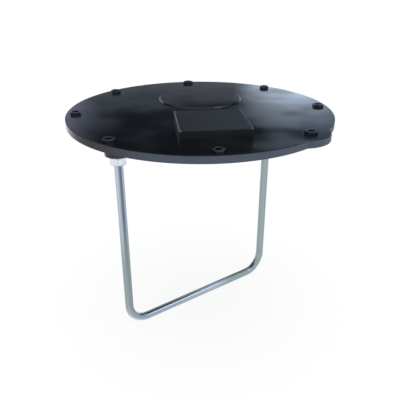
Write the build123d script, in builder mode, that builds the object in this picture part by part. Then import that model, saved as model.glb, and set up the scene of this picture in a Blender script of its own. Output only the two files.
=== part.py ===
# Tank manway cover: a round moulded plate with a U-shaped steel bail hung under it.
# Millimetres, +Z up. The origin is the bolt circle's centre, level with the rim's seating face.
import os
from math import cos, radians, sin, sqrt

from build123d import *

os.makedirs("parts", exist_ok=True)

# Plate
plate_radius = 200.0
rim_thickness = 10.0
recess_depth = 2.0            # the skin inside the spigot is thinner than the rim by this
top_edge_radius = 0.9
ear_radius = 44.5             # lifting ear on the rim
ear_setback = 34.0            # its centre's distance inside the plate's edge
ear_angle = -45.0
disc_radius = 67.0            # raised round field behind the middle
disc_height = 1.6
disc_draft = 30.0
disc_centre = (8.5, 71.0)

# Closing holes and their bushes
bush_count = 8
bush_inset = 14.5             # bolt circle inside the plate's edge
bush_bore = 10.0              # coarse hole for an M8 screw
bush_hex = 15.0               # across flats
bush_hex_height = 3.8
bush_shank = 13.0
bush_edge = 0.6
bush_fit = 0.05

# Seal and its groove
groove_gap = 4.0              # wall between the bush holes and the groove
groove_width = 12.0
groove_depth = 2.5
gasket_thickness = 4.5
gasket_clearance = 0.1
gasket_lip = 1.0

# Spigot and ribs underneath
spigot_gap = 3.0              # land between the groove and the spigot
spigot_wall = 5.0
spigot_depth = 12.0
rib_count = 6
rib_thickness = 4.0
rib_depth = 9.0
hub_radius = 26.0
hub_wall = 5.0
overlap = 1.0                 # ribs and bosses run this far into the skin

# Bail
bar_radius = 6.5
thread_radius = 7.0           # rolled thread, larger than the bar
thread_end = 1.2              # chamfer on its end
bail_angle = 29.3             # direction of the bail's plane, from +X
leg_inset = 17.0              # each leg's distance inside the spigot's outside
bail_drop = 328.0             # seating face to the bar's centreline
bend_radius = 34.0
boss_depth = 30.5
boss_wall = 10.0
boss_draft = 1.5
insert_wall = 2.5
insert_length = 24.0
end_gap = 1.0                 # from the bar's end to the top of the insert
fit_clearance = 0.05
washer_margin = 7.0
washer_thickness = 2.5
washer_clearance = 0.5
nut_gap = 0.3
nut_hex = 22.0
nut_height = 11.0
nut_edge = 1.1

# Block on the top
block_side = 96.0
block_height = 11.5
block_centre = (5.0, -89.5)
block_edge = 0.8
block_corner = 1.5
screw_spacing = 66.0
screw_radius = 2.1
screw_head_radius = 4.5
screw_head_height = 2.6
screw_engagement = 6.5
screw_hole_clearance = 0.4
slot_width = 1.2
slot_depth = 1.0

# What follows from the sizes above
plate_top = rim_thickness
bush_circle_radius = plate_radius - bush_inset
groove_outer = bush_circle_radius - bush_shank / 2 - groove_gap
groove_inner = groove_outer - groove_width
spigot_radius = groove_inner - spigot_gap
spigot_inner = spigot_radius - spigot_wall
ear_centre_radius = plate_radius - ear_setback
leg_radius = spigot_radius - leg_inset
leg_x = leg_radius * cos(radians(bail_angle))
leg_y = leg_radius * sin(radians(bail_angle))
insert_radius = thread_radius + insert_wall
boss_radius = insert_radius + boss_wall
boss_bottom = -boss_depth
bar_top = boss_bottom + insert_length - end_gap
washer_bottom = boss_bottom - washer_thickness
nut_top = washer_bottom - nut_gap
nut_bottom = nut_top - nut_height
screw_length = plate_top - recess_depth + screw_engagement
skin_bottom = recess_depth
sides = {"left": -1, "right": 1}


def hexagon(across_flats, rotation=0.0):
    return RegularPolygon(across_flats / sqrt(3), 6, rotation=rotation)


def legs():
    return PolarLocations(leg_radius, 2, start_angle=bail_angle)


def screw_grid():
    return GridLocations(screw_spacing, screw_spacing, 2, 2)


# The plate: one moulding with its ear, spigot, ribs, bosses and raised disc
with BuildPart() as cover_plate:
    with BuildSketch():
        Circle(plate_radius)
        with PolarLocations(ear_centre_radius, 1, start_angle=ear_angle):
            Circle(ear_radius)
    extrude(amount=rim_thickness)
    fillet(cover_plate.edges().group_by(Axis.Z)[-1], top_edge_radius)
    # raised disc
    with BuildSketch(Plane.XY.offset(plate_top)):
        with Locations(disc_centre):
            Circle(disc_radius)
    extrude(amount=disc_height, taper=disc_draft)
    # spigot that centres the cover in the tank's opening, and the thinner skin inside it
    with BuildSketch(Plane.XY.offset(-spigot_depth)):
        Circle(spigot_radius)
    extrude(amount=spigot_depth)
    with BuildSketch(Plane.XY.offset(-spigot_depth)):
        Circle(spigot_inner)
    extrude(amount=spigot_depth + recess_depth, mode=Mode.SUBTRACT)
    # seal groove
    with BuildSketch():
        Circle(groove_outer)
        Circle(groove_inner, mode=Mode.SUBTRACT)
    extrude(amount=groove_depth, mode=Mode.SUBTRACT)
    # ribs from a middle hub to the spigot
    with BuildSketch(Plane.XY.offset(-rib_depth)):
        with PolarLocations((hub_radius + spigot_inner) / 2, rib_count, start_angle=bail_angle):
            Rectangle(spigot_inner - hub_radius + spigot_wall, rib_thickness)
        Circle(hub_radius)
        Circle(hub_radius - hub_wall, mode=Mode.SUBTRACT)
    extrude(amount=rib_depth + skin_bottom + overlap)
    # bosses that take the bail's inserts
    with BuildSketch(Plane.XY.offset(skin_bottom + overlap)):
        with legs():
            Circle(boss_radius)
    extrude(amount=boss_bottom - skin_bottom - overlap, taper=boss_draft)
    with BuildSketch(Plane.XY.offset(boss_bottom)):
        with legs():
            Circle(insert_radius)
    extrude(amount=insert_length, mode=Mode.SUBTRACT)
    # holes for the bushes and for the block's screws
    with BuildSketch():
        with PolarLocations(bush_circle_radius, bush_count):
            Circle(bush_shank / 2)
        with Locations(block_centre):
            with screw_grid():
                Circle(screw_radius + screw_hole_clearance)
    extrude(amount=plate_top, mode=Mode.SUBTRACT)
cover_plate.part.label = "cover_plate"
export_step(cover_plate.part, "parts/cover_plate.step")

# Hexagonal bushes: each takes the clamping load of a closing screw past the plastic
bush_names = ["right", "back_right", "back", "back_left", "left", "front_left", "front",
              "front_right"]
for index, place in enumerate(bush_names):
    turn = Rot(0, 0, 360 / bush_count * index)
    with BuildPart() as bush:
        with BuildSketch(turn * Pos(bush_circle_radius, 0, plate_top)):
            hexagon(bush_hex, rotation=30)
        extrude(amount=bush_hex_height)
        with BuildSketch(turn * Pos(bush_circle_radius, 0, 0)):
            Circle(bush_shank / 2 - bush_fit)
        extrude(amount=plate_top)
        with BuildSketch(turn * Pos(bush_circle_radius, 0, 0)):
            Circle(bush_bore / 2)
        extrude(amount=plate_top + bush_hex_height, mode=Mode.SUBTRACT)
        chamfer(bush.edges().group_by(Axis.Z)[-1], bush_edge)
    bush.part.label = f"hex_bush_{place}"
    export_step(bush.part, f"parts/hex_bush_{place}.step")

# Seal ring, standing proud of the rim's seating face
with BuildPart() as rim_gasket:
    with BuildSketch(Plane.XY.offset(groove_depth - gasket_thickness)):
        Circle(groove_outer - gasket_clearance)
        Circle(groove_inner + gasket_clearance, mode=Mode.SUBTRACT)
    extrude(amount=gasket_thickness)
    fillet(rim_gasket.edges().group_by(Axis.Z)[0], gasket_lip)
rim_gasket.part.label = "rim_gasket"
export_step(rim_gasket.part, "parts/rim_gasket.step")

# Bail: one round bar bent to a U, with a rolled thread on each end
bail_plane = Plane(origin=(0, 0, 0), x_dir=(leg_x, leg_y, 0), z_dir=(leg_y, -leg_x, 0))
with BuildPart() as bail_rod:
    with BuildLine(bail_plane):
        path = FilletPolyline((-leg_radius, nut_bottom), (-leg_radius, -bail_drop),
                              (leg_radius, -bail_drop), (leg_radius, nut_bottom),
                              radius=bend_radius)
    with BuildSketch(Plane(origin=path @ 0, z_dir=path % 0)):
        Circle(bar_radius)
    sweep()
    with BuildSketch(Plane.XY.offset(nut_bottom)):
        with legs():
            Circle(thread_radius)
    extrude(amount=bar_top - nut_bottom)
    chamfer(bail_rod.edges().group_by(Axis.Z)[-1], thread_end)
bail_rod.part.label = "bail_rod"
export_step(bail_rod.part, "parts/bail_rod.step")

for side, sign in sides.items():
    leg = Pos(sign * leg_x, sign * leg_y, 0)

    # threaded insert, moulded into the boss
    with BuildPart() as insert:
        with BuildSketch(leg * Pos(0, 0, boss_bottom)):
            Circle(insert_radius - fit_clearance)
            Circle(thread_radius + fit_clearance, mode=Mode.SUBTRACT)
        extrude(amount=insert_length)
    insert.part.label = f"bail_insert_{side}"
    export_step(insert.part, f"parts/bail_insert_{side}.step")

    with BuildPart() as washer:
        with BuildSketch(leg * Pos(0, 0, washer_bottom)):
            Circle(thread_radius + washer_margin)
            Circle(thread_radius + washer_clearance, mode=Mode.SUBTRACT)
        extrude(amount=washer_thickness)
    washer.part.label = f"bail_washer_{side}"
    export_step(washer.part, f"parts/bail_washer_{side}.step")

    # lock nut: a round blank with chamfered ends, cut to a hexagon
    with BuildPart() as nut:
        with BuildSketch(leg * Pos(0, 0, nut_bottom)):
            Circle(nut_hex / sqrt(3))
        extrude(amount=nut_height)
        chamfer(nut.edges(), nut_edge)
        with BuildSketch(leg * Pos(0, 0, nut_bottom)):
            hexagon(nut_hex, rotation=bail_angle)
        extrude(amount=nut_height, mode=Mode.INTERSECT)
        with BuildSketch(leg * Pos(0, 0, nut_bottom)):
            Circle(thread_radius + fit_clearance)
        extrude(amount=nut_height, mode=Mode.SUBTRACT)
    nut.part.label = f"lock_nut_{side}"
    export_step(nut.part, f"parts/lock_nut_{side}.step")

# Square block, screwed down from underneath
with BuildPart() as top_block:
    with BuildSketch(Plane.XY.offset(plate_top)):
        with Locations(block_centre):
            RectangleRounded(block_side, block_side, block_corner)
    extrude(amount=block_height)
    chamfer(top_block.edges().group_by(Axis.Z)[-1], block_edge)
    with BuildSketch(Plane.XY.offset(plate_top)):
        with Locations(block_centre):
            with screw_grid():
                Circle(screw_radius + fit_clearance)
    extrude(amount=screw_engagement + end_gap, mode=Mode.SUBTRACT)
top_block.part.label = "top_block"
export_step(top_block.part, "parts/top_block.step")

with BuildPart() as block_screws:
    with BuildSketch(Plane.XY.offset(skin_bottom - screw_head_height)):
        with Locations(block_centre):
            with screw_grid():
                Circle(screw_head_radius)
    extrude(amount=screw_head_height)
    chamfer(block_screws.edges().group_by(Axis.Z)[0], slot_depth / 2)
    with BuildSketch(Plane.XY.offset(skin_bottom)):
        with Locations(block_centre):
            with screw_grid():
                Circle(screw_radius)
    extrude(amount=screw_length)
    # cross slots for a screwdriver
    with BuildSketch(Plane.XY.offset(skin_bottom - screw_head_height)):
        with Locations(block_centre):
            with screw_grid():
                Rectangle(screw_head_radius, slot_width)
                Rectangle(slot_width, screw_head_radius)
    extrude(amount=slot_depth, mode=Mode.SUBTRACT)
block_screws.part.label = "block_screws"
export_step(block_screws.part, "parts/block_screws.step")
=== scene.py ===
from math import atan2, cos, radians, sin

import bmesh
import bpy
from mathutils import Matrix, Vector


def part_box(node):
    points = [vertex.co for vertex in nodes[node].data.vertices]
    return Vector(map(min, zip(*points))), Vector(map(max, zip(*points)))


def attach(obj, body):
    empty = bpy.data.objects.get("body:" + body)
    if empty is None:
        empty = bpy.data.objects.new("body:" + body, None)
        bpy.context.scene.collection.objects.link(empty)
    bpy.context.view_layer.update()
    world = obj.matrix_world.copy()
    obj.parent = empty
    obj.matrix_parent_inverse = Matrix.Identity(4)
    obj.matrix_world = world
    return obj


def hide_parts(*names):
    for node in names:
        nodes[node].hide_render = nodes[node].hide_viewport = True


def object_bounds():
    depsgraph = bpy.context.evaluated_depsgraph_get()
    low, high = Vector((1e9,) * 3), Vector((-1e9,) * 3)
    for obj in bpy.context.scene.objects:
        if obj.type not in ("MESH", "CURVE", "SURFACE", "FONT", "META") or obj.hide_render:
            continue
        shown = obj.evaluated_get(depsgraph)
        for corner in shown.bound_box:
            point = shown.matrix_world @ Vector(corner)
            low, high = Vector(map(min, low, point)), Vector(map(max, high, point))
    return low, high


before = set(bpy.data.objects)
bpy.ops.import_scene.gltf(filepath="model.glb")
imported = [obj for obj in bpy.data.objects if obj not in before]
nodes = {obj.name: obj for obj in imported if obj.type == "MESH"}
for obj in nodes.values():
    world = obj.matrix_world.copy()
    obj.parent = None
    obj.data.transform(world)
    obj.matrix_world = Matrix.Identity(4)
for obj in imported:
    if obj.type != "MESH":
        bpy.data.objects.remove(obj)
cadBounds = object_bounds()
print("frame loaded:", len(nodes), "nodes")

mm = 0.001


def linear(hexColour):
    # sRGB hex to the linear colour that sockets hold
    channels = [int(hexColour[i:i + 2], 16) / 255 for i in (1, 3, 5)]
    return tuple(c / 12.92 if c <= 0.04045 else ((c + 0.055) / 1.055) ** 2.4
                 for c in channels) + (1.0,)


def addNode(tree, kind, settings=None, links=None):
    # one node, its settings by attribute or input, and the outputs that feed its inputs
    made = tree.nodes.new(kind)
    for key, value in (settings or {}).items():
        if isinstance(key, str) and hasattr(made, key):
            setattr(made, key, value)
        else:
            made.inputs[key].default_value = value
    for key, source in (links or {}).items():
        tree.links.new(source, made.inputs[key])
    return made


def newMaterial(name):
    material = bpy.data.materials.new(name)
    material.use_nodes = True
    material.node_tree.nodes.clear()
    return material, material.node_tree


def newPiece(name, mesh, material):
    # a finished piece at the origin, its place in its mesh
    data = bpy.data.meshes.new(name)
    mesh.to_mesh(data)
    mesh.free()
    data.materials.append(material)
    piece = bpy.data.objects.new(name, data)
    bpy.context.scene.collection.objects.link(piece)
    return piece


def paint(material, *names):
    for name in names:
        mesh = nodes[name].data
        mesh.materials.clear()
        mesh.materials.append(material)


# Black plastics and rubber, straight from the mould. Polyethylene has a satin gloss and is a
# little wavy from shrinkage, so its sheen is uneven; the block is a drier, greyer black; the
# nylon of the bushes is finer and duller; the seal is dull. The grain is drawn several times
# coarser than real, so that it shows. Upper corners at a piece's two sides get a painted pale
# highlight in place of glints off the rounded edges; the placing entry holds the middle (x, y),
# how far to the side of it the highlight starts, and how far from it the highlight ends.
plasticLooks = {
    "plate": dict(dark="#0a0b0d", light="#101216", paintedSheen="#c2ccd6", rough=(0.08, 0.20),
                  grainMm=1.6, grainBump=0.04, waveMm=70.0, waveBump=0.42, edgeMm=1.2,
                  highlightMm=(8.5, 71.0, 62.0, 80.0), specular=0.5),
    "block": dict(dark="#0e1216", light="#161b1f", paintedSheen="#b4bac0", rough=(0.44, 0.56),
                  grainMm=1.2, grainBump=0.08, waveMm=40.0, waveBump=0.05, edgeMm=1.7,
                  highlightMm=(5.0, -89.5, 46.0, 90.0), specular=0.28),
    "bush": dict(dark="#0c0f13", light="#14191e", paintedSheen="#6f7c86", rough=(0.20, 0.30),
                 grainMm=0.8, grainBump=0.05, waveMm=12.0, waveBump=0.03, edgeMm=0.5,
                 highlightMm=(0.0, 0.0, 1.0, 400.0), specular=0.5),
    "seal": dict(dark="#141414", light="#1c1c1b", paintedSheen="#262625", rough=(0.68, 0.82),
                 grainMm=0.9, grainBump=0.12, waveMm=25.0, waveBump=0.06, edgeMm=0.4,
                 highlightMm=(0.0, 0.0, 1.0, 400.0), specular=0.35),
}
# shared by the mouldings: depth of their relief, and which corners get the painted highlight
mouldFinish = {
    "patches": (0.3, 0.7), "swellDepthMm": 0.6, "grainDepthMm": 0.08,
    "highlightTurn": (0.80, 0.995), "highlightLean": (-0.3, 0.3), "highlightShare": 0.9, "highlightFadeMm": 2.0,
}
# The plate's rim is scuffed where it is rolled along the ground, so it is dull over most of it;
# the half that lies "towards" carries a painted pale bluish sheen. Each grows between two
# distances from the middle that way.
rimSheenAndScuffs = {
    "towards": (0.80, -0.60, 0.0), "bandMm": 12.0, "upright": (0.3, 0.7),
    "sheenMm": (-60.0, 60.0), "dullMm": (-130.0, -60.0), "colour": "#3a4350", "rough": 0.55,
}


def rimSheenAndScuffMasks(tree, coords, normal, rimRadius):
    # how much painted sheen and how dull, only on the rim's upright face: far from the axis,
    # normal level
    flat = addNode(tree, "ShaderNodeVectorMath", {"operation": "MULTIPLY", 1: (1.0, 1.0, 0.0)},
                   {0: coords}).outputs["Vector"]
    reach = addNode(tree, "ShaderNodeVectorMath", {"operation": "LENGTH"},
                    {0: flat}).outputs["Value"]
    outside = addNode(tree, "ShaderNodeMath",
                      {"operation": "GREATER_THAN", 1: rimRadius - rimSheenAndScuffs["bandMm"] * mm},
                      {0: reach}).outputs[0]
    steep = addNode(tree, "ShaderNodeSeparateXYZ", links={0: normal}).outputs["Z"]
    tilt = addNode(tree, "ShaderNodeMath", {"operation": "ABSOLUTE"}, {0: steep}).outputs[0]
    upright = addNode(tree, "ShaderNodeMapRange",
                      {"From Min": rimSheenAndScuffs["upright"][0],
                       "From Max": rimSheenAndScuffs["upright"][1], "To Min": 1.0, "To Max": 0.0},
                      {"Value": tilt}).outputs[0]
    rim = addNode(tree, "ShaderNodeMath", {"operation": "MULTIPLY"},
                  {0: outside, 1: upright}).outputs[0]
    side = addNode(tree, "ShaderNodeVectorMath",
                   {"operation": "DOT_PRODUCT", 1: rimSheenAndScuffs["towards"]},
                   {0: coords}).outputs["Value"]
    sheenAndScuff = []
    for key in ("sheenMm", "dullMm"):
        start, full = [x * mm for x in rimSheenAndScuffs[key]]
        towardSide = addNode(tree, "ShaderNodeMapRange",
                         {"interpolation_type": "SMOOTHSTEP", "From Min": start,
                          "From Max": full}, {"Value": side}).outputs[0]
        sheenAndScuff.append(addNode(tree, "ShaderNodeMath", {"operation": "MULTIPLY"},
                              {0: rim, 1: towardSide}).outputs[0])
    return sheenAndScuff


def corners(tree, edgeMm, normal, turn):
    # 1 at a corner and 0 on the flat, by how far the rounded normal leaves the face's own, and
    # the rounded normal
    rounded = addNode(tree, "ShaderNodeBevel", {"samples": 6, "Radius": edgeMm * mm})
    along = addNode(tree, "ShaderNodeVectorMath", {"operation": "DOT_PRODUCT"},
                    {0: rounded.outputs["Normal"], 1: normal}).outputs["Value"]
    near = addNode(tree, "ShaderNodeMapRange",
                   {"From Min": turn[0], "From Max": turn[1], "To Min": 1.0, "To Max": 0.0},
                   {"Value": along}).outputs[0]
    return near, rounded.outputs["Normal"]


def paintedCornerHighlight(tree, look, coords, normal):
    # painted highlight on a piece's upper corners, at its two sides and not far from its middle
    middleX, middleY, fromMiddle, farthest = [x * mm for x in look["highlightMm"]]
    corner, rounded = corners(tree, look["edgeMm"], normal, mouldFinish["highlightTurn"])
    across = addNode(tree, "ShaderNodeSeparateXYZ", links={0: coords}).outputs["X"]
    offset = addNode(tree, "ShaderNodeMath", {"operation": "SUBTRACT", 1: middleX},
                     {0: across}).outputs[0]
    aside = addNode(tree, "ShaderNodeMath", {"operation": "ABSOLUTE"}, {0: offset}).outputs[0]
    sides = addNode(tree, "ShaderNodeMapRange",
                    {"From Min": fromMiddle - mouldFinish["highlightFadeMm"] * mm,
                     "From Max": fromMiddle, "To Max": mouldFinish["highlightShare"]},
                    {"Value": aside}).outputs[0]
    apart = addNode(tree, "ShaderNodeVectorMath",
                    {"operation": "DISTANCE", 1: (middleX, middleY, 0.0)},
                    {0: coords}).outputs["Value"]
    within = addNode(tree, "ShaderNodeMath", {"operation": "LESS_THAN", 1: farthest},
                     {0: apart}).outputs[0]
    lean = addNode(tree, "ShaderNodeSeparateXYZ", links={0: rounded}).outputs["Z"]
    upper = addNode(tree, "ShaderNodeMapRange",
                    {"From Min": mouldFinish["highlightLean"][0],
                     "From Max": mouldFinish["highlightLean"][1]}, {"Value": lean}).outputs[0]
    highlight = corner
    for part in (sides, within, upper):
        highlight = addNode(tree, "ShaderNodeMath", {"operation": "MULTIPLY"},
                       {0: highlight, 1: part}).outputs["Value"]
    return highlight


def mouldedPlastic(name, look, rimRadius=None):
    material, tree = newMaterial(name)
    coords = addNode(tree, "ShaderNodeTexCoord").outputs["Object"]
    normal = addNode(tree, "ShaderNodeNewGeometry").outputs["Normal"]
    grain = addNode(tree, "ShaderNodeTexNoise",
                    {"Scale": 1 / (look["grainMm"] * mm), "Detail": 3.0, "Roughness": 0.6},
                    {"Vector": coords}).outputs["Fac"]
    wave = addNode(tree, "ShaderNodeTexNoise",
                   {"Scale": 1 / (look["waveMm"] * mm), "Detail": 1.0, "Roughness": 0.4},
                   {"Vector": coords}).outputs["Fac"]
    patches = addNode(tree, "ShaderNodeMapRange",
                      {"interpolation_type": "SMOOTHSTEP",
                       "From Min": mouldFinish["patches"][0],
                       "From Max": mouldFinish["patches"][1]}, {"Value": wave}).outputs[0]
    tone = addNode(tree, "ShaderNodeMix",
                   {"data_type": "RGBA", 6: linear(look["dark"]), 7: linear(look["light"])},
                   {0: patches}).outputs[2]
    rough = addNode(tree, "ShaderNodeMapRange",
                    {"To Min": look["rough"][0], "To Max": look["rough"][1]},
                    {"Value": patches}).outputs[0]
    if rimRadius:
        # the rim's right-front half gets a painted pale bluish sheen; the rest of the rim is
        # dulled
        paintedSheen, dull = rimSheenAndScuffMasks(tree, coords, normal, rimRadius)
        tone = addNode(tree, "ShaderNodeMix",
                       {"data_type": "RGBA", 7: linear(rimSheenAndScuffs["colour"])},
                       {0: paintedSheen, 6: tone}).outputs[2]
        rough = addNode(tree, "ShaderNodeMix", {"data_type": "FLOAT", 3: rimSheenAndScuffs["rough"]},
                        {0: dull, 2: rough}).outputs[0]
    # painted pale highlight on the upper corners at the piece's two sides, in place of glints
    highlight = paintedCornerHighlight(tree, look, coords, normal)
    colour = addNode(tree, "ShaderNodeMix", {"data_type": "RGBA", 7: linear(look["paintedSheen"])},
                     {0: highlight, 6: tone}).outputs[2]
    swell = addNode(tree, "ShaderNodeBump",
                    {"Strength": look["waveBump"], "Distance": mouldFinish["swellDepthMm"] * mm},
                    {"Height": wave}).outputs["Normal"]
    relief = addNode(tree, "ShaderNodeBump",
                     {"Strength": look["grainBump"],
                      "Distance": mouldFinish["grainDepthMm"] * mm},
                     {"Height": grain, "Normal": swell}).outputs["Normal"]
    shader = addNode(tree, "ShaderNodeBsdfPrincipled",
                     {"IOR": 1.5, "Specular IOR Level": look["specular"]},
                     {"Base Color": colour, "Roughness": rough, "Normal": relief})
    addNode(tree, "ShaderNodeOutputMaterial", links={"Surface": shader.outputs["BSDF"]})
    return material


# Bright zinc plate over turned or stamped steel, and turned brass: cloudy and finely scratched,
# and greyer on corners, which is painted shade along the edges. Scratches are drawn several
# times too wide.
metalLooks = {
    "nut": dict(dark="#c0c8d2", light="#f6f9ff", tint="#dde4ed", corner="#5f6b7d",
                rough=(0.22, 0.34), lineMm=3.2, bandMm=12.0, stretch=1.0, edgeMm=1.8),
    "washer": dict(dark="#9aa2a8", light="#d4dade", tint="#b6bcb6", corner="#7c8484",
                   rough=(0.26, 0.40), lineMm=2.4, bandMm=14.0, stretch=1.0, edgeMm=0.3),
    "screw": dict(dark="#9aa0a3", light="#cdd2d6", tint="#adb3ae", corner="#6c7274",
                  rough=(0.26, 0.40), lineMm=1.6, bandMm=6.0, stretch=1.0, edgeMm=0.4),
    "brass": dict(dark="#a8874a", light="#dcc07c", tint="#94763f", corner="#6f5628",
                  rough=(0.24, 0.38), lineMm=0.8, bandMm=8.0, stretch=6.0, edgeMm=0.3),
}
# shared by the metals: how stripes and clouds mix, where corners get painted shade, depth of
# scratches
plating = {
    "bandShare": 0.62, "stripes": (0.38, 0.62), "cloudMm": 45.0, "clouds": (0.40, 0.62),
    "cloudShare": 0.7, "shadedEdgeTurn": (0.85, 0.99), "shadedEdgeShare": 0.85, "scratchBump": 0.06,
    "scratchDepthMm": 0.05,
}


def platedMetal(name, look):
    material, tree = newMaterial(name)
    place = addNode(tree, "ShaderNodeTexCoord").outputs["Object"]
    along = addNode(tree, "ShaderNodeMapping", {"Scale": (1.0, 1.0, look["stretch"])},
                    {"Vector": place}).outputs["Vector"]
    lines = addNode(tree, "ShaderNodeTexNoise",
                    {"Scale": 1 / (look["lineMm"] * mm), "Detail": 4.0, "Roughness": 0.65},
                    {"Vector": along}).outputs["Fac"]
    bands = addNode(tree, "ShaderNodeTexNoise",
                    {"Scale": 1 / (look["bandMm"] * mm), "Detail": 1.5, "Roughness": 0.5},
                    {"Vector": along}).outputs["Fac"]
    cloud = addNode(tree, "ShaderNodeTexNoise",
                    {"Scale": 1 / (plating["cloudMm"] * mm), "Detail": 3.0, "Roughness": 0.5},
                    {"Vector": place}).outputs["Fac"]
    stripe = addNode(tree, "ShaderNodeMix", {"data_type": "FLOAT", 0: plating["bandShare"]},
                     {2: lines, 3: bands}).outputs[0]
    share = addNode(tree, "ShaderNodeMapRange",
                    {"From Min": plating["stripes"][0], "From Max": plating["stripes"][1]},
                    {"Value": stripe}).outputs[0]
    tone = addNode(tree, "ShaderNodeMix",
                   {"data_type": "RGBA", 6: linear(look["dark"]), 7: linear(look["light"])},
                   {0: share}).outputs[2]
    cloudy = addNode(tree, "ShaderNodeMapRange",
                     {"From Min": plating["clouds"][0], "From Max": plating["clouds"][1],
                      "To Max": plating["cloudShare"]}, {"Value": cloud}).outputs[0]
    tinted = addNode(tree, "ShaderNodeMix", {"data_type": "RGBA", 7: linear(look["tint"])},
                     {0: cloudy, 6: tone}).outputs[2]
    normal = addNode(tree, "ShaderNodeNewGeometry").outputs["Normal"]
    corner = corners(tree, look["edgeMm"], normal, plating["shadedEdgeTurn"])[0]
    shadedEdge = addNode(tree, "ShaderNodeMath",
                   {"operation": "MULTIPLY", 1: plating["shadedEdgeShare"]}, {0: corner}).outputs[0]
    # corners darkened with painted shade, so that facet edges show as dark lines
    colour = addNode(tree, "ShaderNodeMix", {"data_type": "RGBA", 7: linear(look["corner"])},
                     {0: shadedEdge, 6: tinted}).outputs[2]
    rough = addNode(tree, "ShaderNodeMapRange",
                    {"To Min": look["rough"][1], "To Max": look["rough"][0]},
                    {"Value": share}).outputs[0]
    relief = addNode(tree, "ShaderNodeBump",
                     {"Strength": plating["scratchBump"],
                      "Distance": plating["scratchDepthMm"] * mm},
                     {"Height": lines}).outputs["Normal"]
    shader = addNode(tree, "ShaderNodeBsdfPrincipled", {"Metallic": 1.0},
                     {"Base Color": colour, "Roughness": rough, "Normal": relief})
    addNode(tree, "ShaderNodeOutputMaterial", links={"Surface": shader.outputs["BSDF"]})
    return material


bushPlaces = ["right", "back_right", "back", "back_left", "left", "front_left", "front",
              "front_right"]
plateRadius = -cadBounds[0][0]
paint(mouldedPlastic("satinMouldedPolyethylene", plasticLooks["plate"], plateRadius),
      "cover_plate")
paint(mouldedPlastic("mattMouldedBlock", plasticLooks["block"]), "top_block")
paint(mouldedPlastic("glassFilledNylon", plasticLooks["bush"]),
      *[f"hex_bush_{place}" for place in bushPlaces])
paint(mouldedPlastic("mouldedSealRubber", plasticLooks["seal"]), "rim_gasket")
paint(platedMetal("zincPlatedNut", metalLooks["nut"]), "lock_nut_left", "lock_nut_right")
paint(platedMetal("zincPlatedWasher", metalLooks["washer"]),
      "bail_washer_left", "bail_washer_right")
paint(platedMetal("zincPlatedScrew", metalLooks["screw"]), "block_screws")
paint(platedMetal("turnedBrass", metalLooks["brass"]), "bail_insert_left",
      "bail_insert_right")
print("materials painted")


# Bail: one bar, cold bent twice, with a rolled thread on each end (millimetres, degrees; where
# the thread's crest ends and its root starts are shares of the pitch)
bail = {
    "barRadius": 6.5, "crestRadius": 7.0, "rootRadius": 6.15, "pitch": 2.0,
    "bendRadius": 34.0, "angle": 29.3, "sides": 40, "bendSteps": 20, "runSteps": 12,
    "endChamfer": 1.2, "startChamfer": 0.4, "crestEnd": 0.25, "rootStart": 0.6,
}
# Zinc-plated drawn bar: its die lines run lengthwise, so reflections break into long stripes;
# they are about 0.3 mm apart, drawn 1.2 mm apart here so that they show. The left leg has a
# painted dark bluish reflection stripe down one side. The bar is greener in tone round the
# bends and low on the legs. Both are placed along the bar from the loop's middle, right is plus.
barFinish = {
    "dark": "#9ba8b3", "light": "#d2dce7", "rough": (0.20, 0.34), "lineMm": 1.2,
    "bandMm": 4.2, "stretch": 0.010, "bandShare": 0.65, "stripes": (0.36, 0.62),
    "scratchBump": 0.10, "scratchDepthMm": 0.05,
}
paintedReflection = {
    "colour": "#5f7082", "turn": -101.0, "edge": (0.90, 0.985), "alongMm": (-340.0, -190.0),
    "breaks": (0.30, 0.55), "leastShare": 0.45,
}
greenTone = {
    "colour": "#8b9b99", "share": 0.8, "plainMm": -50.0, "startMm": (72.0, 130.0),
    "middleMm": 60.0, "endMm": (290.0, 390.0),
}
low, high = [Vector(corner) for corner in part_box("bail_rod")]
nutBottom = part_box("lock_nut_left")[0][2]
barRadius = bail["barRadius"] * mm
bendRadius = bail["bendRadius"] * mm
legX = (high.xy - Vector((bail["crestRadius"] * mm,) * 2)).length
barZ = low.z + barRadius
bendZ = barZ + bendRadius
turned = Matrix.Rotation(radians(bail["angle"]), 4, "Z")


def alongBar(point):
    # place on the bar as if it were straight: towards the loop's inside, sideways, and along
    side = 1 if point.x > 0 else -1
    fromBend = Vector((legX - bendRadius - side * point.x, bendZ - point.z))
    arc = legX - bendRadius + bendRadius * radians(90)
    if fromBend.y < 0:
        return Vector((legX - side * point.x, point.y, side * (arc + point.z - bendZ)))
    if fromBend.x > 0:
        return Vector((point.z - barZ, point.y, point.x))
    swept = atan2(fromBend.y, -fromBend.x)
    return Vector((bendRadius - fromBend.length, point.y,
                   side * (arc - bendRadius * swept)))


def greenToneCover(tree, run):
    # from both ends of a plain stretch, and fading up the legs, further up on the right one
    reaches = []
    for middle, (near, far), cover in ((greenTone["plainMm"], greenTone["startMm"], (0.0, 1.0)),
                                       (greenTone["middleMm"], greenTone["endMm"], (greenTone["share"], 0.0))):
        offset = addNode(tree, "ShaderNodeMath", {"operation": "SUBTRACT", 1: middle * mm},
                         {0: run}).outputs[0]
        away = addNode(tree, "ShaderNodeMath", {"operation": "ABSOLUTE"},
                       {0: offset}).outputs[0]
        reaches.append(addNode(tree, "ShaderNodeMapRange",
                               {"interpolation_type": "SMOOTHSTEP", "From Min": near * mm,
                                "From Max": far * mm, "To Min": cover[0],
                                "To Max": cover[1]}, {"Value": away}).outputs[0])
    return addNode(tree, "ShaderNodeMath", {"operation": "MULTIPLY"},
                   {0: reaches[0], 1: reaches[1]}).outputs[0]


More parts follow.
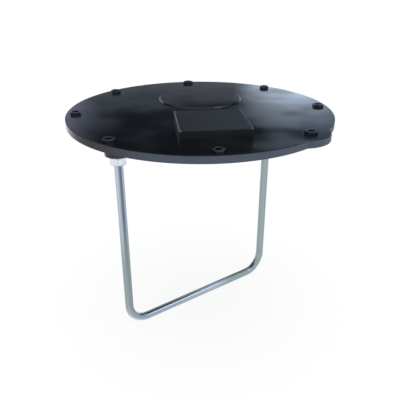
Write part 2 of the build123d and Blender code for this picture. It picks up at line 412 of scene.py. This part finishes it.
def paintedReflectionCover(tree, place, run, lines):
    # painted dark reflection stripe: by direction round the bar, broken by the die lines, and
    # fading down the left leg
    turn = radians(paintedReflection["turn"])
    facing = addNode(tree, "ShaderNodeVectorMath",
                     {"operation": "DOT_PRODUCT",
                      1: (cos(turn) / barRadius, sin(turn) / barRadius, 0.0)},
                     {0: place}).outputs["Value"]
    facingStripe = addNode(tree, "ShaderNodeMapRange",
                     {"interpolation_type": "SMOOTHSTEP", "From Min": paintedReflection["edge"][0],
                      "From Max": paintedReflection["edge"][1]}, {"Value": facing}).outputs[0]
    broken = addNode(tree, "ShaderNodeMapRange",
                     {"From Min": paintedReflection["breaks"][0], "From Max": paintedReflection["breaks"][1],
                      "To Min": paintedReflection["leastShare"], "To Max": 1.0},
                     {"Value": lines}).outputs[0]
    start, end = [x * mm for x in paintedReflection["alongMm"]]
    stretch = addNode(tree, "ShaderNodeMapRange",
                      {"interpolation_type": "SMOOTHSTEP", "From Min": start,
                       "From Max": end, "To Min": 1.0, "To Max": 0.0},
                      {"Value": run}).outputs[0]
    streak = addNode(tree, "ShaderNodeMath", {"operation": "MULTIPLY"},
                     {0: facingStripe, 1: broken}).outputs[0]
    return addNode(tree, "ShaderNodeMath", {"operation": "MULTIPLY"},
                   {0: streak, 1: stretch}).outputs[0]


def drawnBarZinc():
    look = barFinish
    material, tree = newMaterial("zincPlatedDrawnBar")
    place = addNode(tree, "ShaderNodeAttribute",
                    {"attribute_name": "straightBar"}).outputs["Vector"]
    run = addNode(tree, "ShaderNodeSeparateXYZ", links={0: place}).outputs["Z"]
    along = addNode(tree, "ShaderNodeMapping", {"Scale": (1.0, 1.0, look["stretch"])},
                    {"Vector": place}).outputs["Vector"]
    lines = addNode(tree, "ShaderNodeTexNoise",
                    {"Scale": 1 / (look["lineMm"] * mm), "Detail": 3.0, "Roughness": 0.6},
                    {"Vector": along}).outputs["Fac"]
    bands = addNode(tree, "ShaderNodeTexNoise",
                    {"Scale": 1 / (look["bandMm"] * mm), "Detail": 1.0, "Roughness": 0.5},
                    {"Vector": along}).outputs["Fac"]
    stripe = addNode(tree, "ShaderNodeMix", {"data_type": "FLOAT", 0: look["bandShare"]},
                     {2: lines, 3: bands}).outputs[0]
    share = addNode(tree, "ShaderNodeMapRange",
                    {"interpolation_type": "SMOOTHSTEP", "From Min": look["stripes"][0],
                     "From Max": look["stripes"][1]}, {"Value": stripe}).outputs[0]
    colour = addNode(tree, "ShaderNodeMix",
                     {"data_type": "RGBA", 6: linear(look["dark"]), 7: linear(look["light"])},
                     {0: share}).outputs[2]
    # mixes in the greener tone and the painted dark reflection stripe
    for layer, cover in ((greenTone, greenToneCover(tree, run)),
                         (paintedReflection, paintedReflectionCover(tree, place, run, lines))):
        colour = addNode(tree, "ShaderNodeMix",
                         {"data_type": "RGBA", 7: linear(layer["colour"])},
                         {0: cover, 6: colour}).outputs[2]
    rough = addNode(tree, "ShaderNodeMapRange",
                    {"To Min": look["rough"][1], "To Max": look["rough"][0]},
                    {"Value": share}).outputs[0]
    relief = addNode(tree, "ShaderNodeBump",
                     {"Strength": look["scratchBump"],
                      "Distance": look["scratchDepthMm"] * mm},
                     {"Height": lines}).outputs["Normal"]
    shader = addNode(tree, "ShaderNodeBsdfPrincipled", {"Metallic": 1.0},
                     {"Base Color": colour, "Roughness": rough, "Normal": relief})
    addNode(tree, "ShaderNodeOutputMaterial", links={"Surface": shader.outputs["BSDF"]})
    return material


def makeBar():
    mesh = bmesh.new()
    bmesh.ops.create_circle(mesh, cap_ends=False, segments=bail["sides"], radius=barRadius,
                            matrix=Matrix.Translation((-legX, 0, nutBottom)))
    ring = list(mesh.edges)
    drop = Vector((0, 0, bendZ - nutBottom))
    across = Vector((2 * (legX - bendRadius), 0, 0))
    for step, pivot in ((drop, bendRadius - legX), (across, legX - bendRadius), (-drop, None)):
        for _ in range(bail["runSteps"]):
            grown = bmesh.ops.extrude_edge_only(mesh, edges=ring)["geom"]
            points = [g for g in grown if isinstance(g, bmesh.types.BMVert)]
            bmesh.ops.translate(mesh, verts=points, vec=step / bail["runSteps"])
            ring = [g for g in grown if isinstance(g, bmesh.types.BMEdge)
                    and all(v in points for v in g.verts)]
        if pivot is not None:
            points = list({v for e in ring for v in e.verts})
            swept = bmesh.ops.spin(mesh, geom=points + ring, cent=(pivot, 0, bendZ),
                                   axis=(0, 1, 0), angle=-radians(90),
                                   steps=bail["bendSteps"])["geom_last"]
            ring = [g for g in swept if isinstance(g, bmesh.types.BMEdge)]
    rims = [e for e in mesh.edges if e.is_boundary]
    bmesh.ops.holes_fill(mesh, edges=rims, sides=0)
    for edge in rims:
        edge.smooth = False
    straight = mesh.verts.layers.float_vector.new("straightBar")
    for point in mesh.verts:
        point[straight] = alongBar(point.co)
    bmesh.ops.transform(mesh, matrix=turned, verts=mesh.verts)
    bmesh.ops.recalc_face_normals(mesh, faces=mesh.faces)
    for face in mesh.faces:
        face.smooth = len(face.verts) == 4
    return newPiece("bail", mesh, drawnBarZinc())


def makeThreads():
    # both threads, as rings that stand for the helix, from the nut's underside to the leg's end
    pitch, crest, root = [bail[key] * mm for key in ("pitch", "crestRadius", "rootRadius")]
    start, end = bail["startChamfer"] * mm, bail["endChamfer"] * mm
    mesh = bmesh.new()
    profile = [(0.0, nutBottom), (crest - start, nutBottom)]
    z = nutBottom + start
    while z + pitch < high.z - end:
        profile += [(crest, z), (crest, z + bail["crestEnd"] * pitch),
                    (root, z + bail["rootStart"] * pitch)]
        z += pitch
    profile += [(crest, z), (crest - end, high.z), (0.0, high.z)]
    points = [mesh.verts.new((r, 0, z)) for r, z in profile]
    edges = [mesh.edges.new(pair) for pair in zip(points, points[1:])]
    bmesh.ops.spin(mesh, geom=points + edges, cent=(0, 0, 0), axis=(0, 0, 1),
                   angle=radians(360), steps=bail["sides"], use_merge=True)
    bmesh.ops.remove_doubles(mesh, verts=mesh.verts, dist=0.001 * mm)
    second = bmesh.ops.duplicate(mesh, geom=mesh.faces[:])["geom"]
    moved = [g for g in second if isinstance(g, bmesh.types.BMVert)]
    bmesh.ops.translate(mesh, verts=mesh.verts, vec=(-legX, 0, 0))
    bmesh.ops.translate(mesh, verts=moved, vec=(2 * legX, 0, 0))
    bmesh.ops.transform(mesh, matrix=turned, verts=mesh.verts)
    bmesh.ops.recalc_face_normals(mesh, faces=mesh.faces)
    return newPiece("bailThreads", mesh, platedMetal("zincPlatedThread", metalLooks["nut"]))


for piece in (makeBar(), makeThreads()):
    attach(piece, "cover")
    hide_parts("bail_rod")
print("bail made, legs", round(2 * legX / mm, 1), "mm apart")


# Studio: a white floor and backdrop under an even overhead light. The room is bright in front;
# at the back it is dark between a low pale wall and a bright ceiling. The walls' colours go by
# the sine of the height above the horizon, and front and back blend across the seam.
studio = {
    "floorSize": 60.0, "floorColour": "#f4f5f6", "floorGlow": 0.90, "seam": 0.25,
    "back": [(0.00, "#b4bac4"), (0.12, "#a8b0bc"), (0.20, "#949dab"), (0.232, "#666e7a"),
             (0.262, "#29313a"), (0.30, "#1f272f"), (0.36, "#1f262e"), (0.43, "#3c424a"),
             (0.52, "#636a73"), (0.66, "#98a0aa"), (0.82, "#c8d0da"), (1.0, "#e8eef6")],
    "front": [(0.00, "#d8dde4"), (0.35, "#f4f8fe"), (0.70, "#eef2f8"), (0.86, "#e6ecf4"),
              (1.0, "#e8eef6")],
    "overhead": dict(strength=1.95, angle=55.0, colour="#ffffff"),
}
# soft glows on the walls, by direction from the object: turned right of straight back and
# raised (degrees), fading from the inner to the outer angle, wider than high by the squash
glows = {
    "backRight": dict(turn=17.4, rise=11.8, inner=0.5, outer=6.1, strength=3.3,
                      squash=2.8, colour="#d6e8ff"),
    "farRight": dict(turn=25.0, rise=12.6, inner=3.0, outer=10.0, strength=0.55,
                     squash=1.8, colour="#bcd4ff"),
    "farLeft": dict(turn=-21.0, rise=13.9, inner=6.0, outer=15.5, strength=1.2,
                    squash=1.8, colour="#d6ddff"),
    "rightHigh": dict(turn=127.0, rise=40.0, inner=2.0, outer=14.0, strength=1.7,
                      squash=1.0, colour="#e4eeff"),
}


def makeFloor():
    # glows to the camera and in reflections, so that it stays white where the light is weak
    mesh = bmesh.new()
    bmesh.ops.create_grid(mesh, x_segments=1, y_segments=1, size=studio["floorSize"] / 2,
                          matrix=Matrix.Translation((0, 0, cadBounds[0][2])))
    material, tree = newMaterial("paleFloor")
    base = addNode(tree, "ShaderNodeBsdfDiffuse", {"Color": linear(studio["floorColour"])})
    glow = addNode(tree, "ShaderNodeEmission", {"Color": (1, 1, 1, 1), "Strength": 1.0})
    path = addNode(tree, "ShaderNodeLightPath")
    seen = addNode(tree, "ShaderNodeMath", {"operation": "MAXIMUM"},
                   {0: path.outputs["Is Camera Ray"], 1: path.outputs["Is Glossy Ray"]})
    through = addNode(tree, "ShaderNodeMath", {"operation": "MAXIMUM"},
                      {0: seen.outputs[0], 1: path.outputs["Is Transmission Ray"]})
    share = addNode(tree, "ShaderNodeMath", {"operation": "MULTIPLY", 1: studio["floorGlow"]},
                    {0: through.outputs[0]})
    mixed = addNode(tree, "ShaderNodeMixShader",
                    links={0: share.outputs[0], 1: base.outputs[0], 2: glow.outputs[0]})
    addNode(tree, "ShaderNodeOutputMaterial", links={"Surface": mixed.outputs[0]})
    newPiece("floor", mesh, material)


def makeWorld():
    # the room lights and is reflected; the camera sees plain white in its place
    world = bpy.data.worlds.new("studioWorld")
    bpy.context.scene.world = world
    world.use_nodes = True
    tree = world.node_tree
    tree.nodes.clear()
    direction = addNode(tree, "ShaderNodeTexCoord").outputs["Generated"]
    split = addNode(tree, "ShaderNodeSeparateXYZ", links={0: direction}).outputs
    walls = []
    for side in ("back", "front"):
        wall = addNode(tree, "ShaderNodeValToRGB", links={"Fac": split["Z"]})
        stops = wall.color_ramp.elements
        while len(stops) < len(studio[side]):
            stops.new(1.0)
        for stop, (position, colour) in zip(stops, studio[side]):
            stop.position, stop.color = position, linear(colour)
        walls.append(wall.outputs["Color"])
    inFront = addNode(tree, "ShaderNodeMapRange",
                      {"interpolation_type": "SMOOTHSTEP", "From Min": studio["seam"],
                       "From Max": -studio["seam"]}, {"Value": split["Y"]}).outputs[0]
    colour = addNode(tree, "ShaderNodeMix", {"data_type": "RGBA"},
                     {0: inFront, 6: walls[0], 7: walls[1]}).outputs[2]
    for glow in glows.values():
        squash = Vector((1.0, 1.0, glow["squash"]))
        squashed = addNode(tree, "ShaderNodeVectorMath",
                           {"operation": "MULTIPLY", 1: tuple(squash)},
                           {0: direction}).outputs["Vector"]
        looking = addNode(tree, "ShaderNodeVectorMath", {"operation": "NORMALIZE"},
                          {0: squashed}).outputs["Vector"]
        turn, rise = radians(glow["turn"]), radians(glow["rise"])
        centre = Vector((sin(turn) * cos(rise), cos(turn) * cos(rise), sin(rise)))
        centre = (centre * squash).normalized()
        near = addNode(tree, "ShaderNodeVectorMath",
                       {"operation": "DOT_PRODUCT", 1: tuple(centre)}, {0: looking})
        share = addNode(tree, "ShaderNodeMapRange",
                        {"interpolation_type": "SMOOTHSTEP",
                         "From Min": cos(radians(glow["outer"])),
                         "From Max": cos(radians(glow["inner"]))},
                        {"Value": near.outputs["Value"]}).outputs[0]
        light = [c * glow["strength"] for c in linear(glow["colour"])[:3]] + [1.0]
        colour = addNode(tree, "ShaderNodeMix",
                         {"data_type": "RGBA", "blend_type": "ADD", 7: light},
                         {0: share, 6: colour}).outputs[2]
    room = addNode(tree, "ShaderNodeBackground", {"Strength": 1.0}, {"Color": colour})
    white = addNode(tree, "ShaderNodeBackground", {"Color": (1, 1, 1, 1), "Strength": 1.0})
    path = addNode(tree, "ShaderNodeLightPath")
    mixed = addNode(tree, "ShaderNodeMixShader",
                    links={0: path.outputs["Is Camera Ray"], 1: room.outputs[0],
                           2: white.outputs[0]})
    addNode(tree, "ShaderNodeOutputWorld", links={"Surface": mixed.outputs[0]})


def makeLight():
    sun = bpy.data.lights.new("overhead", "SUN")
    sun.energy = studio["overhead"]["strength"]
    sun.angle = radians(studio["overhead"]["angle"])
    sun.color = linear(studio["overhead"]["colour"])[:3]
    overhead = bpy.data.objects.new("overhead", sun)
    overhead.visible_glossy = False  # seen from above, the plate would mirror it and turn grey
    bpy.context.scene.collection.objects.link(overhead)


# place in metres, degrees down and to the right, lens and sensor in millimetres
view = {"at": (-0.088, -0.730, 0.2112), "pitch": 25.68, "yaw": 6.87, "lens": 44.3,
        "sensor": 36.0, "clip": (0.01, 100.0)}


def makeCamera():
    data = bpy.data.cameras.new("camera")
    data.sensor_width = view["sensor"]
    data.lens = view["lens"]
    data.clip_start, data.clip_end = view["clip"]
    camera = bpy.data.objects.new("camera", data)
    camera.location = view["at"]
    camera.rotation_euler = (radians(90 - view["pitch"]), 0, radians(-view["yaw"]))
    bpy.context.scene.collection.objects.link(camera)
    bpy.context.scene.camera = camera


makeFloor()
makeWorld()
makeLight()
makeCamera()
bpy.context.scene.view_settings.view_transform = "Standard"
print("studio ready")
